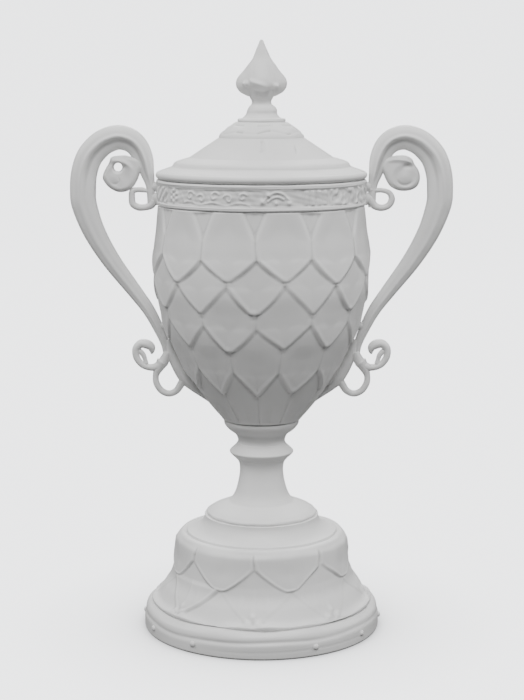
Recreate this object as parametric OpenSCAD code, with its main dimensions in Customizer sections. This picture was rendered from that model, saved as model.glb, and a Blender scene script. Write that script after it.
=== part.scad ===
// Two-handled covered cup trophy on a bell-shaped pedestal.
// Z is up, the origin is the middle of the underside, X runs from handle to handle.

/* [Pedestal] */
// Outer radius of the foot rim
foot_r = 85.2; // [71:0.1:102.5]
// Height of the upright wall of the foot rim
foot_wall_h = 12; // [9:0.5:16]
// Radius of the bell at its shoulder
shoulder_r = 62; // [52:0.5:68]
// Height of the flat top of the bell above the table
bell_top_z = 70; // [58:0.5:84]
// Sheet thickness of the cast pedestal
cast_wall = 2.5; // [1.8:0.1:3.5]
// Number of equal stud places round the foot rim
stud_places = 12; // [6:1:16]
// Radius of a stud head
stud_r = 2.1; // [1.2:0.1:3]

/* [Stem] */
// Radius of the disc at the foot of the stem
disc_r = 39.6; // [32:0.1:46]
// Height of the cove ring under the disc
cove_h = 12; // [9:0.5:16]
// Smallest radius of the stem
waist_r = 15.6; // [12:0.1:19]
// Height of the stem from the disc's underside to the knop
stem_h = 41; // [34:0.5:52]
// Largest radius of the knop
knop_r = 22.9; // [20:0.1:28]
// Radius of the lip of the cup socket
socket_r = 27; // [25.5:0.1:31]

/* [Bowl] */
// Largest radius of the bowl
bowl_r = 77; // [72:0.5:93]
// Height of the bowl from its seat to its rim
bowl_h = 175; // [145:1:210]
// Outer radius of the bowl's neck, under the rim band
neck_r = 71.9; // [59.9:0.1:84]
// Thickness of the raised bowl
bowl_wall = 1.9; // [1.2:0.1:3]
// Height of the rim band
band_h = 18; // [14:0.5:24]

/* [Lid] */
// Height of the lid from its seat to the foot of the finial
lid_h = 39.8; // [32:0.2:50]
// Thickness of the lid
lid_wall = 1.8; // [1.2:0.1:2.6]
// Depth of the bezel below the rim
bezel_drop = 10; // [6:0.5:14]
// Play between the bezel and the bowl, on the radius
bezel_play = 0.3; // [0.3:0.05:0.8]
// Height of the finial, from its foot to its tip
finial_h = 56.7; // [46:0.1:70]
// Largest radius of the finial's bud
bud_r = 14.4; // [11:0.1:18]

/* [Handles] */
// How far a handle stands out past the widest part of the bowl
handle_out = 57.9; // [48:0.1:72]
// How far a handle rises above the rim of the bowl
handle_rise = 37.5; // [32:0.5:46]
// Width of a handle at its thickest, seen from the front
handle_w = 18.4; // [15:0.1:22.2]
// Depth of a handle as a share of its width
handle_depth = 0.8; // [0.6:0.05:1]
// Radius of the volute under the handle's arch
volute_r = 12.6; // [10:0.1:14]
// Depth of the volute at its boss
volute_depth = 11; // [8:0.5:14]
// Thickness of the rings and curls at the ends of a handle
curl_t = 4.6; // [3.6:0.1:5.6]

/* [Fixings] */
// Radius of the tie rod
rod_r = 4; // [3:0.25:5]
// Play between the rod and the holes it passes through
rod_play = 0.2; // [0.1:0.05:0.5]
// Radius of the finial stud
pin_r = 2.5; // [2:0.25:3]
// Seam left for solder between a handle's pads and the cup
solder_gap = 0.02; // [0.01:0.01:0.1]

/* [Hidden] */
$fn = 96;
eps = 0.01;

felt_t = 2;
felt_proud = 0.3;
board_t = 5;
board_play = 0.3;
bowl_washer_r = 14;
base_washer_r = 18;
lid_washer_r = 9;
rim_wall = 4.6;
roll_h = 9;
lip_h = 3.4;
nut_flats = 1.9;
nut_t = 1.6;

// Heights of the pedestal and stem, stacked from the table up
roll_z = foot_wall_h + roll_h;
cove_z = bell_top_z + cove_h;
knop_z = cove_z + stem_h;
knop_h = 11.6;
socket_z = knop_z + knop_h;
socket_h = 13.9;
bowl_z = socket_z + socket_h;
rim_z = bowl_z + bowl_h;
band_z = rim_z - band_h;
finial_z = rim_z + lid_h;
rod_hole_r = rod_r + rod_play;
pin_hole_r = pin_r + rod_play;

// Radii that follow from the driving ones
inner_r = neck_r - bowl_wall;
bezel_r = inner_r - bezel_play;
bezel_t = 1.4;
skirt_r = bezel_r + lid_wall;
wire_w = 2.9;
wire_h = 2.7;
wire_r = skirt_r + wire_w;
wire_z = rim_z + wire_h + 0.3;
band_t = 1.5;
band_r = neck_r + band_t;
bead_r = 1.7;
lobe_r = 5.2;
spigot_r = socket_r - 2.9;
cap_r = 17.4;

// How the handles sit against the cup: the side faces the lid passes
handle_x = wire_r + 0.6;
mid_z = band_z + band_h / 2;

silver = "gainsboro";
steel = "silver";

// ---- curves ----

// Point at t, from 0 to 1, on a cubic that passes b and c with the slope of its neighbours a and d
function spline_at(a, b, c, d, t) =
  0.5 * (2 * b + (c - a) * t + (2 * a - 5 * b + 4 * c - d) * t * t + (3 * b - a - 3 * c + d) * t * t * t);

// Smooth line through the stations p, in n steps between each two
function smooth(p, n) = let (m = len(p) - 1) [
  for (i = [0 : m - 1], k = [0 : n - 1])
    spline_at(p[max(i - 1, 0)], p[i], p[i + 1], p[min(i + 2, m)], k / n),
  p[m]
];

module ring(r, bore, z, h) {
  translate([0, 0, z]) difference() {
    cylinder(r = r, h = h);
    translate([0, 0, -eps]) cylinder(r = bore, h = h + 2 * eps);
  }
}

module hex_nut(r, z, h) {
  translate([0, 0, z]) difference() {
    cylinder(r = nut_flats * r, h = h, $fn = 6);
    translate([0, 0, -eps]) cylinder(r = r, h = h + 2 * eps, $fn = 96);
  }
}

// ---- pedestal ----

bell_seat = [foot_r - 6.2, roll_z - 1];

// Point of the bell: share of the flare from the shoulder out to the rim, share of the height
function bell_at(out, up) = [
  shoulder_r + out * (bell_seat.x - shoulder_r), bell_seat.y + up * (bell_top_z - bell_seat.y)
];

bell_line = smooth([
  bell_seat, bell_at(0.80, 0.072), bell_at(0.53, 0.212), bell_at(0.23, 0.37), bell_at(0.085, 0.62),
  bell_at(-0.01, 0.84), bell_at(-0.12, 0.936), bell_at(-0.33, 1)
], 4);

module felt_pad() {
  color("darkslategray") cylinder(r = foot_r - rim_wall - board_play, h = felt_t);
}

module base_board() {
  color("burlywood") translate([0, 0, felt_t]) cylinder(r = foot_r - rim_wall - board_play, h = board_t);
}

module foot_rim() {
  inner = foot_r - rim_wall;
  ledge = felt_t + board_t;
  color(silver) difference() {
    rotate_extrude() polygon(concat(
      [[inner, felt_proud], [foot_r - 0.6, felt_proud], [foot_r, felt_proud + 0.8]],
      [for (a = [0 : 15 : 75]) [foot_r - 7 + 7 * cos(a), foot_wall_h - 2 + (roll_h + 0.6) * sin(a)]],
      [bell_seat, bell_seat - [cast_wall + 0.7, 0], [inner - 3.4, ledge], [inner, ledge]]
    ));
    for (turn = stud_turns) rotate([0, 0, turn]) translate([foot_r - shank_l, 0, stud_z])
      rotate([0, 90, 0]) cylinder(r = shank_r, h = shank_l + 1, $fn = 24);
  }
}

// Places of the studs round the rim, none at the seams at the front and the back
stud_turns = [for (i = [0 : stud_places - 1]) if (i % (stud_places / 2) != 0) i * 360 / stud_places - 94];
stud_z = foot_wall_h / 2 + 1;
shank_r = stud_r / 2;
shank_l = rim_wall - 1.2;

module rim_studs() {
  color(silver) for (turn = stud_turns) rotate([0, 0, turn]) translate([foot_r, 0, stud_z])
    rotate([0, 90, 0]) rotate_extrude($fn = 24) polygon(concat(
      [[0, -shank_l], [shank_r, -shank_l], [shank_r, 0]],
      [for (a = [0 : 22.5 : 90]) [stud_r * cos(a), 0.75 * stud_r * sin(a)]]
    ));
}

module bell() {
  color(silver) rotate_extrude() polygon(concat(
    bell_line,
    [[rod_hole_r, bell_top_z], [rod_hole_r, bell_top_z - cast_wall], bell_at(-0.5, 1) - [0, cast_wall]],
    [for (i = [len(bell_line) - 5 : -1 : 3]) bell_line[i] - [cast_wall, 0.25 * cast_wall]],
    [bell_seat - [cast_wall, 0]]
  ));
}

module cove_ring() {
  out = shoulder_r - 8;
  top = disc_r + 1.6;
  color(silver) rotate_extrude() polygon(concat(
    [[disc_r - 9, bell_top_z]],
    [for (a = [0 : 10 : 90]) [out - (out - top) * sin(a), bell_top_z + 1 + (cove_h - 1.6) * (1 - cos(a))]],
    [[top, cove_z], [disc_r - 9, cove_z]]
  ));
}

// ---- stem ----

module stem() {
  line = smooth([
    [disc_r - 0.6, cove_z + 2.6], [disc_r - 8, cove_z + 0.155 * stem_h],
    [waist_r + 6.8, cove_z + 0.254 * stem_h],
    [waist_r + 3.4, cove_z + 0.39 * stem_h], [waist_r + 0.9, cove_z + 0.61 * stem_h],
    [waist_r, cove_z + 0.8 * stem_h], [waist_r + 0.8, cove_z + 0.93 * stem_h], [waist_r + 2.9, knop_z]
  ], 4);
  color(silver) rotate_extrude() polygon(concat(
    [[rod_hole_r + 2, cove_z], [disc_r - 0.5, cove_z], [disc_r, cove_z + 1.3]],
    line,
    [[rod_hole_r + 2, knop_z]]
  ));
}

module knop() {
  color(silver) rotate_extrude() polygon(concat(
    [[rod_hole_r, knop_z], [waist_r + 2.9, knop_z]],
    smooth([[waist_r + 3.3, knop_z + 0.6], [knop_r - 1, knop_z + 3.2], [knop_r, knop_z + 5],
      [knop_r - 1, knop_z + 6.8], [waist_r + 3.2, knop_z + 10], [waist_r + 1.7, socket_z]], 4),
    [[rod_hole_r, socket_z]]
  ));
}

module cup_socket() {
  color(silver) rotate_extrude() polygon(concat(
    [[rod_hole_r, socket_z]],
    smooth([[waist_r + 1.5, socket_z], [waist_r + 1.4, socket_z + 2.4], [waist_r + 3.2, socket_z + 6.4],
      [socket_r - 3.6, socket_z + 10], [socket_r - 0.6, socket_z + 13.6], [socket_r, bowl_z + lip_h - 1.2],
      [socket_r - 0.9, bowl_z + lip_h - 0.2]], 4),
    [[spigot_r + 0.2, bowl_z + lip_h - 0.2], [spigot_r + 0.2, bowl_z], [rod_hole_r, bowl_z]]
  ));
}

// ---- bowl ----

// Outside of the bowl from its spigot to its neck, as shares of its height and radius
bowl_line = smooth([
  [socket_r + 1.2, bowl_z + lip_h + 0.4], [bowl_r * 0.468, bowl_z + bowl_h * 0.07],
  [bowl_r * 0.584, bowl_z + bowl_h * 0.137], [bowl_r * 0.753, bowl_z + bowl_h * 0.255],
  [bowl_r * 0.870, bowl_z + bowl_h * 0.365],
  [bowl_r * 0.945, bowl_z + bowl_h * 0.472], [bowl_r * 0.988, bowl_z + bowl_h * 0.568],
  [bowl_r, bowl_z + bowl_h * 0.655], [bowl_r * 0.988, bowl_z + bowl_h * 0.735],
  [neck_r + 2.4, bowl_z + bowl_h * 0.815], [neck_r + 1.4, band_z - 0.6]
], 4);

// Top of the bowl's thick floor
floor_z = bowl_z + lip_h + 1.6;

module bowl() {
  inside = [for (i = [len(bowl_line) - 1 : -1 : 3]) bowl_line[i] - [bowl_wall, -0.4]];
  color(silver) rotate_extrude() polygon(concat(
    [[rod_hole_r, bowl_z], [spigot_r, bowl_z], [spigot_r, bowl_z + lip_h]],
    bowl_line,
    [[neck_r, band_z], [neck_r, rim_z], [inner_r, rim_z], [inner_r, band_z + 4]],
    inside,
    [[spigot_r - bowl_wall, floor_z], [rod_hole_r, floor_z]]
  ));
}

module rim_band() {
  color(silver) ring(band_r, neck_r, band_z + 2 * bead_r, band_h - 4 * bead_r);
}

// Half-round wire soldered round the neck
module bead(z) {
  color(silver) rotate_extrude() polygon(concat(
    [[neck_r, z]],
    [for (a = [-75 : 15 : 75]) [neck_r + 0.6 + bead_r * cos(a), z + bead_r + bead_r * sin(a)]],
    [[neck_r, z + 2 * bead_r]]
  ));
}

module upper_bead() bead(rim_z - 2 * bead_r);

module lower_bead() bead(band_z);

// ---- rod and nuts ----

washer_t = 2;
rod_nut_h = nut_t * rod_r;
rod_spare = 3;
bowl_nut_z = floor_z + washer_t;
base_nut_z = bell_top_z - cast_wall - washer_t - rod_nut_h;

module tie_rod() {
  bottom = base_nut_z - rod_spare;
  color(steel) translate([0, 0, bottom]) cylinder(r = rod_r, h = bowl_nut_z + rod_nut_h + rod_spare - bottom);
}

module bowl_washer() {
  color(steel) ring(bowl_washer_r, rod_hole_r, floor_z, washer_t);
}

module bowl_nut() {
  color(steel) hex_nut(rod_r, bowl_nut_z, rod_nut_h);
}

module base_washer() {
  color(steel) ring(base_washer_r, rod_hole_r, base_nut_z + rod_nut_h, washer_t);
}

module base_nut() {
  color(steel) hex_nut(rod_r, base_nut_z, rod_nut_h);
}

// ---- lid ----

cone_foot_r = skirt_r - 21;
cone_top_r = 30;
crown_r = 18;
crown_z = finial_z - 0.2;
skirt_h = 5.4;

// Point of the lid: its radius and the share of the height from the top of its skirt to its crown
function lid_at(r, up) = [r, rim_z + skirt_h + up * (crown_z - rim_z - skirt_h)];

module lid_shell() {
  line = concat(
    [lid_at(skirt_r, 0)],
    smooth([lid_at(skirt_r - 0.6, 0.018), lid_at(skirt_r - 5, 0.061), lid_at(skirt_r - 8.6, 0.1)], 3),
    smooth([lid_at(skirt_r - 9.8, 0.14), lid_at(skirt_r - 12.4, 0.2), lid_at(skirt_r - 16, 0.24),
      lid_at(cone_foot_r, 0.28)], 3),
    smooth([lid_at(cone_top_r, 0.684), lid_at(cone_top_r - 1.4, 0.772), lid_at(cone_top_r - 5.4, 0.87),
      lid_at(crown_r, 1)], 4),
    [[pin_hole_r, crown_z]]
  );
  under = [lid_at(crown_r - 2, 1), lid_at(cone_top_r - 6, 0.8), lid_at(cone_top_r - 3, 0.73),
    lid_at(cone_foot_r - 2, 0.28), lid_at(skirt_r - 15, 0.21), lid_at(skirt_r - 10.8, 0.11),
    lid_at(skirt_r - 5, 0.05)];
  color(silver) rotate_extrude() polygon(concat(
    [[bezel_r, rim_z], [skirt_r, rim_z]],
    line,
    [[pin_hole_r, crown_z - lid_wall]],
    [for (p = under) p - [0, lid_wall]],
    [[bezel_r, rim_z + skirt_h - lid_wall]]
  ));
}

module lid_rim_wire() {
  color(silver) rotate_extrude() polygon(concat(
    [[skirt_r, rim_z + 0.3]],
    [for (a = [-75 : 15 : 75]) [skirt_r + wire_w * cos(a), wire_z + wire_h * sin(a)]],
    [[skirt_r, wire_z + wire_h]]
  ));
}

module lid_bezel() {
  color(silver) ring(bezel_r, bezel_r - bezel_t, rim_z - bezel_drop, bezel_drop + 3.5);
}

base_h = 0.27 * finial_h;
neck_z = finial_z + base_h;

module finial_base() {
  color(silver) rotate_extrude() polygon(concat(
    [[pin_hole_r, crown_z], [cap_r - 0.5, crown_z], [cap_r, finial_z + 1], [cap_r - 0.6, finial_z + 2.2]],
    smooth([[cap_r - 3.4, finial_z + 3], [cap_r - 4.6, finial_z + 4.4],
      [cap_r - 6.6, finial_z + 0.5 * base_h], [cap_r - 9.6, finial_z + 0.76 * base_h],
      [7, neck_z - 1.6], [7.4, neck_z]], 3),
    [[pin_hole_r, neck_z]]
  ));
}

module finial_bud() {
  top = finial_z + finial_h;
  h = top - neck_z;
  color(silver) rotate_extrude() polygon(concat(
    [[0, neck_z], [7, neck_z]],
    smooth([[8, neck_z + 1.2], [0.9 * bud_r, neck_z + 0.155 * h], [bud_r, neck_z + 0.29 * h],
      [0.9 * bud_r, neck_z + 0.44 * h], [0.7 * bud_r, neck_z + 0.58 * h], [0.42 * bud_r, neck_z + 0.735 * h],
      [0.25 * bud_r, neck_z + 0.87 * h], [0.9, top - 0.6]], 3),
    [[0, top]]
  ));
}

module finial_lobes() {
  color(silver) difference() {
    for (a = [0 : 90 : 270])
      rotate([0, 0, a]) translate([bud_r - 2, 0, neck_z + 0.256 * (finial_h - base_h)])
        sphere(r = lobe_r, $fn = 32);
    finial_bud();
  }
}

lid_washer_t = 1.2;
lid_washer_z = crown_z - lid_wall - lid_washer_t;
lid_nut_h = nut_t * pin_r;
stud_end_z = lid_washer_z - lid_nut_h - 3;

module finial_stud() {
  color(steel) translate([0, 0, stud_end_z]) cylinder(r = pin_r, h = neck_z - stud_end_z);
}

module lid_washer() {
  color(steel) ring(lid_washer_r, pin_hole_r, lid_washer_z, lid_washer_t);
}

module lid_nut() {
  color(steel) hex_nut(pin_r, lid_washer_z - lid_nut_h, lid_nut_h);
}

// ---- handles ----

arch_x = bowl_r + handle_out - handle_w / 2;
arch_h = handle_rise - handle_w / 2 + 0.6;
foot_z = bowl_z + bowl_h * 0.266;
foot_off = 8.4;
foot_x = bowl_x(foot_z) + foot_off;
arch_z = rim_z - 8;

// Outside radius of the bowl at height z
function bowl_x(z) = lookup(z, [for (p = bowl_line) [p.y, p.x]]);

// Station of the arch: share of the way out, share of the rise above the rim, share of the width
function arch(out, up, w) = [handle_x + out * (arch_x - handle_x), rim_z + up * arch_h, w * handle_w];

// Station of the leg: shares of the way out and up from its foot, share of the width
function leg(out, up, w) = [
  foot_x + out * (arch_x - foot_x), foot_z + up * (arch_z - foot_z), w * handle_w
];

// Station that follows the bowl: distance out from its surface, share of the way up, share of the width
function near(off, up, w) = let (z = foot_z + up * (arch_z - foot_z)) [bowl_x(z) + off, z, w * handle_w];

// Centre line of a handle in the plane of the two handles, from the band up, over and down
handle_line = smooth([
  [handle_x + 2.8, band_z - 2, 5.2], [handle_x + 2.9, mid_z - 2, 5.6], [handle_x + 3.4, rim_z - 4, 6.6],
  arch(0.10, 0.12, 0.52), arch(0.15, 0.46, 0.74), arch(0.23, 0.76, 0.84), arch(0.345, 0.935, 0.9),
  arch(0.50, 1, 0.94), arch(0.65, 0.93, 0.97), arch(0.775, 0.79, 0.99), arch(0.905, 0.52, 1),
  arch(0.98, 0.14, 1), leg(1, 1, 1), leg(0.985, 0.91, 0.97), leg(0.872, 0.757, 0.85),
  leg(0.67, 0.588, 0.71), leg(0.37, 0.393, 0.55), near(7.7, 0.293, 0.48), near(4.8, 0.189, 0.41),
  near(4.7, 0.085, 0.32), near(foot_off, 0, 0.27)
], 3);

// Tube of oval section along a line of [x, z, width] stations
module sweep(line, depth, sides) {
  m = len(line) - 1;
  points = [
    for (i = [0 : m])
      let (
        a = line[max(i - 1, 0)],
        b = line[min(i + 1, m)],
        d = [b.x - a.x, b.y - a.y] / norm([b.x - a.x, b.y - a.y]),
        half = line[i].z / 2
      )
      for (k = [0 : sides - 1])
        let (turn = k * 360 / sides)
        [line[i].x + d.y * half * cos(turn), depth * half * sin(turn), line[i].y - d.x * half * cos(turn)]
  ];
  walls = [
    for (i = [0 : m - 1], k = [0 : sides - 1])
      let (p = i * sides + k, q = i * sides + (k + 1) % sides)
      each [[p, p + sides, q], [q, p + sides, q + sides]]
  ];
  ends = [[for (k = [0 : sides - 1]) k], [for (k = [sides - 1 : -1 : 0]) m * sides + k]];
  polyhedron(points, concat(ends, walls));
}

bar_sides = 12;

module handle_bar() sweep(handle_line, handle_depth, bar_sides);

// Space taken by the cup itself, a seam larger than the real one
module cup_space() {
  seam = 1 / cos(180 / $fn);
  scale([seam, seam, 1]) rotate_extrude() polygon(concat(
    [[0, bowl_z]],
    [for (p = bowl_line) p + [solder_gap, 0]],
    [[neck_r + solder_gap, band_z], [neck_r + 0.6 + bead_r + 2 * solder_gap, band_z + bead_r],
      [band_r + solder_gap, band_z + 2 * bead_r], [band_r + solder_gap, rim_z], [0, rim_z]]
  ));
}

// One faceted solid: the first child, less the later ones, the handle bar and the cup
module joined() {
  color(silver) resize([0, 0, 0]) difference() {
    children(0);
    handle_bar();
    cup_space();
    if ($children > 1) children([1 : $children - 1]);
  }
}

module handle() {
  color(silver) handle_bar();
}

// Scroll with a raised border and a domed boss, held to the bar by a short tongue
module volute() {
  r = volute_r;
  d = volute_depth / 2;
  x = handle_x + 24.5;
  z = rim_z + 3;
  face = [[0, d], [0.24 * r, 0.94 * d], [0.43 * r, 0.7 * d], [0.52 * r, 0.42 * d], [0.62 * r, 0.46 * d],
    [0.8 * r, 0.7 * d], [0.94 * r, 0.52 * d], [r, 0]];
  joined() {
    union() {
      translate([x, 0, z]) rotate([90, 0, 0]) rotate_extrude($fn = 40)
        polygon(concat(face, [for (i = [len(face) - 2 : -1 : 0]) [face[i].x, -face[i].y]]));
      hull() {
        translate([x - 0.5 * r, 0, z + 0.34 * r]) rotate([90, 0, 0])
          cylinder(r = 0.48 * r, h = d, center = true, $fn = 32);
        translate([x - 1.1 * r, 0, z + 0.7 * r]) rotate([90, 0, 0])
          cylinder(r = 0.4 * r, h = d, center = true, $fn = 32);
      }
    }
  }
}

module ring_body() {
  t = curl_t;
  sweep(smooth([
    [handle_x + 2.6, mid_z - 6.4, 1.2 * t], [handle_x + 4.7, mid_z - 10, 1.12 * t],
    [handle_x + 9.6, mid_z - 11.4, t], [handle_x + 14.6, mid_z - 9.6, t], [handle_x + 16.8, mid_z - 5.2, t],
    [handle_x + 14.8, mid_z - 0.8, 0.82 * t], [handle_x + 9.8, mid_z + 0.9, 0.74 * t],
    [handle_x + 4, mid_z + 0.4, 0.74 * t]
  ], 4), 1, 10);
}

// Small ring that the end of the handle turns into, beside the rim band
module end_ring() joined() ring_body();

module curl_body() {
  t = curl_t;
  sweep(smooth([
    [foot_x + 1.4, foot_z + 1.6, 1.4 * t], [foot_x + 5.2, foot_z - 4.8, 1.4 * t],
    [foot_x + 11, foot_z - 6.8, 0.96 * t], [foot_x + 18, foot_z - 4.2, 0.96 * t],
    [foot_x + 22.2, foot_z + 1.4, 1.06 * t], [foot_x + 22.6, foot_z + 8, 1.16 * t],
    [foot_x + 19.2, foot_z + 11.6, 1.08 * t], [foot_x + 14, foot_z + 11.4, 0.8 * t],
    [foot_x + 9.6, foot_z + 8.4, 0.44 * t]
  ], 4), 1, 10);
  translate([foot_x + 15.8, 0, foot_z + 5.4]) sphere(r = 1.04 * t, $fn = 20);
}

// Curl that turns outward from the foot of the handle, with a boss in its eye
module curl() joined() curl_body();

module strap_body() {
  sweep(smooth([
    [foot_x - 3.6, foot_z + 4.4, 6], [foot_x - 8, foot_z - 6, 7.6], [foot_x - 12.6, foot_z - 14, 8.4],
    [foot_x - 17.6, foot_z - 20, 5.4], [foot_x - 23, foot_z - 25, 2.6]
  ], 4), 0.9, 10);
}

// Strap that lies on the bowl below the handle
module strap() joined() {
  strap_body();
  curl_body();
}

// Teardrop loop between the curl and the strap
module loop() joined() {
  t = curl_t;
  sweep(smooth([
    [foot_x + 5.4, foot_z - 4, 1.1 * t], [foot_x + 8.2, foot_z - 10, t], [foot_x + 7.8, foot_z - 17.6, t],
    [foot_x + 4.2, foot_z - 23.2, t], [foot_x - 1, foot_z - 25.2, t], [foot_x - 6.2, foot_z - 23.4, t],
    [foot_x - 10.4, foot_z - 17.6, 1.1 * t]
  ], 4), 1, 10);
  curl_body();
  strap_body();
}

// Pad between the rim band and the end of the handle
module band_pad() joined() {
  translate([band_r - 2, -4.5, mid_z - 4.8]) cube([5.4, 9, 9.6]);
  ring_body();
}

// Pad between the bowl and the handle, where the two run closest
module bowl_pad() joined() {
  z = foot_z + 0.2 * (arch_z - foot_z);
  translate([bowl_x(z) - 3, 0, z]) rotate([0, 90, 0]) cylinder(r = 5.4, h = 7.4, $fn = 32);
}

module left() mirror([1, 0, 0]) children();

module right_handle() handle();
module right_volute() volute();
module right_ring() end_ring();
module right_curl() curl();
module right_loop() loop();
module right_strap() strap();
module right_band_pad() band_pad();
module right_bowl_pad() bowl_pad();

module left_handle() left() handle();
module left_volute() left() volute();
module left_ring() left() end_ring();
module left_curl() left() curl();
module left_loop() left() loop();
module left_strap() left() strap();
module left_band_pad() left() band_pad();
module left_bowl_pad() left() bowl_pad();

felt_pad();
base_board();
foot_rim();
rim_studs();
bell();
cove_ring();
stem();
knop();
cup_socket();
bowl();
rim_band();
upper_bead();
lower_bead();
tie_rod();
bowl_washer();
bowl_nut();
base_washer();
base_nut();
lid_shell();
lid_rim_wire();
lid_bezel();
finial_base();
finial_bud();
finial_lobes();
finial_stud();
lid_washer();
lid_nut();
left_handle();
left_volute();
left_ring();
left_curl();
left_loop();
left_strap();
left_band_pad();
left_bowl_pad();
right_handle();
right_volute();
right_ring();
right_curl();
right_loop();
right_strap();
right_band_pad();
right_bowl_pad();
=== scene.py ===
"""Two-handled covered cup on a bell foot: the looks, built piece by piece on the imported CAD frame."""
import math

import bpy
import numpy as np
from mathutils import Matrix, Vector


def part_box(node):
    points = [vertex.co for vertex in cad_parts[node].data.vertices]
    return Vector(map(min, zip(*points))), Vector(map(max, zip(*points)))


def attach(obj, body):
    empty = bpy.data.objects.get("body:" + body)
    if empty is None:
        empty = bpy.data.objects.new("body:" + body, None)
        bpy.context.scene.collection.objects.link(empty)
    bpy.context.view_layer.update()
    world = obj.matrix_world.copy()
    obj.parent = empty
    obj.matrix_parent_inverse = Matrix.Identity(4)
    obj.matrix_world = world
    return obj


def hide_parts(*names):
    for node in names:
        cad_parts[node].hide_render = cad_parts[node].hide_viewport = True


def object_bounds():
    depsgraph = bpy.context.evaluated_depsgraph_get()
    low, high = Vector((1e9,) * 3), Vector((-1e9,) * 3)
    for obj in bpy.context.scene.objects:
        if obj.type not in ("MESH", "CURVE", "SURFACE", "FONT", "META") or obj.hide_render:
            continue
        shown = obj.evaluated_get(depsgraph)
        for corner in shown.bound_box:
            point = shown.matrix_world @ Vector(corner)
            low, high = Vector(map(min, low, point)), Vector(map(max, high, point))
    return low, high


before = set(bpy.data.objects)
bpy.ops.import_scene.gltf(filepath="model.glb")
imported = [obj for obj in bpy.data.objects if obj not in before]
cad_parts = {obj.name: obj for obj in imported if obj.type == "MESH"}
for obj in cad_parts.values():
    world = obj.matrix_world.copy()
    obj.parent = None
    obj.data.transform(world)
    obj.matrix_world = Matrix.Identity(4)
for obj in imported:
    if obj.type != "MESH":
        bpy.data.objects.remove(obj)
cad_low, cad_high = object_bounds()

# ---- Camera: a long lens at a standing viewer's height, looking slightly down at the cup ----
# It stands straight in front, and its distance and height are shares of the cup's own height.
tall = (cad_high - cad_low).z
camera = bpy.data.objects.new("camera", bpy.data.cameras.new("camera"))
away, above = 2.7721, 0.9352  # distance and height, as shares of the cup's height
tip_up = math.radians(80.67)  # 90 degrees would be level
camera.data.sensor_width = 36
camera.data.lens = 84.86  # mm
camera.data.shift_x = 0.0007
camera.location = (0, -away * tall, above * tall)
camera.rotation_euler = (tip_up, 0, 0)
bpy.context.scene.collection.objects.link(camera)
bpy.context.scene.camera = camera


# ---- Felt pad ----
# A disc of green wool felt glued under the base board, so that the cup doesn't mark the table.
# Its fibres lie in every direction and stand up in a short fuzz.
def add_node(tree, kind, values=None, **settings):
    """Adds a node to a tree, with the given settings, inputs and links."""
    node = tree.nodes.new(kind)
    for key, value in settings.items():
        setattr(node, key, value)
    for key, value in (values or {}).items():
        if isinstance(value, bpy.types.NodeSocket):
            tree.links.new(value, node.inputs[key])
        else:
            node.inputs[key].default_value = value
    return node


def material(name, roughness):
    """A new material, its tree and shader, and a function that adds a node with the given inputs."""
    made = bpy.data.materials.new(name)
    made.use_nodes = True
    tree = made.node_tree
    shader = tree.nodes["Principled BSDF"]
    shader.inputs["Roughness"].default_value = roughness

    def add(kind, values=None, **settings):
        return add_node(tree, kind, values, **settings)

    return made, tree, shader, add


def colours(node, *stops):
    """Sets a colour ramp to the stops, each a place and a colour."""
    ramp = node.color_ramp
    while len(ramp.elements) < len(stops):
        ramp.elements.new(0.5)
    for element, (place, colour) in zip(ramp.elements, stops):
        element.position = place
        element.color = (*colour, 1)


def paint(node_name, made):
    """Gives a CAD piece that stays on show its material."""
    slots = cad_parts[node_name].data.materials
    slots.clear()
    slots.append(made)


felt, tree, shader, add = material("green_felt", 0.95)
place = add("ShaderNodeTexCoord")
fibre = add("ShaderNodeTexNoise", {"Vector": place.outputs["Object"], "Scale": 900.0, "Detail": 6.0})
tone = add("ShaderNodeValToRGB", {"Fac": fibre.outputs["Fac"]})
colours(tone, (0.3, (0.05, 0.09, 0.07)), (0.7, (0.12, 0.2, 0.155)))
fuzz = add("ShaderNodeBump", {"Height": fibre.outputs["Fac"], "Strength": 0.5, "Distance": 0.0004})
tree.links.new(tone.outputs["Color"], shader.inputs["Base Color"])
tree.links.new(fuzz.outputs["Normal"], shader.inputs["Normal"])
paint("felt_pad", felt)

# ---- Base board ----
# A disc of raw brown fibreboard that closes the hollow foot and carries the felt.
# Pressed fibres show as fine dark and light flecks.
board, tree, shader, add = material("fibreboard", 0.85)
place = add("ShaderNodeTexCoord")
fleck = add("ShaderNodeTexNoise", {"Vector": place.outputs["Object"], "Scale": 420.0, "Detail": 8.0})
tone = add("ShaderNodeValToRGB", {"Fac": fleck.outputs["Fac"]})
colours(tone, (0.35, (0.33, 0.24, 0.15)), (0.65, (0.6, 0.46, 0.31)))
tooth = add("ShaderNodeBump", {"Height": fleck.outputs["Fac"], "Strength": 0.3, "Distance": 0.0003})
tree.links.new(tone.outputs["Color"], shader.inputs["Base Color"])
tree.links.new(tooth.outputs["Normal"], shader.inputs["Normal"])
paint("base_board", board)


# ---- Foot rim ----
# A cast ring with an upright wall, rolled over at the top where the bell sits in it.
# The roll was chased by hand, so its two edges wander a little round the foot.
def box_of(node):
    """Widest radius, underside and top of a turned CAD piece, in mm."""
    low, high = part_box(node)
    return high.y * 1000, low.z * 1000, high.z * 1000


def outline(node, points):
    """Outline from points given as (mm out from the piece's widest radius, mm up from its underside)."""
    radius, foot = box_of(node)[:2]
    return np.array(points, float) + (radius, foot)


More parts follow.
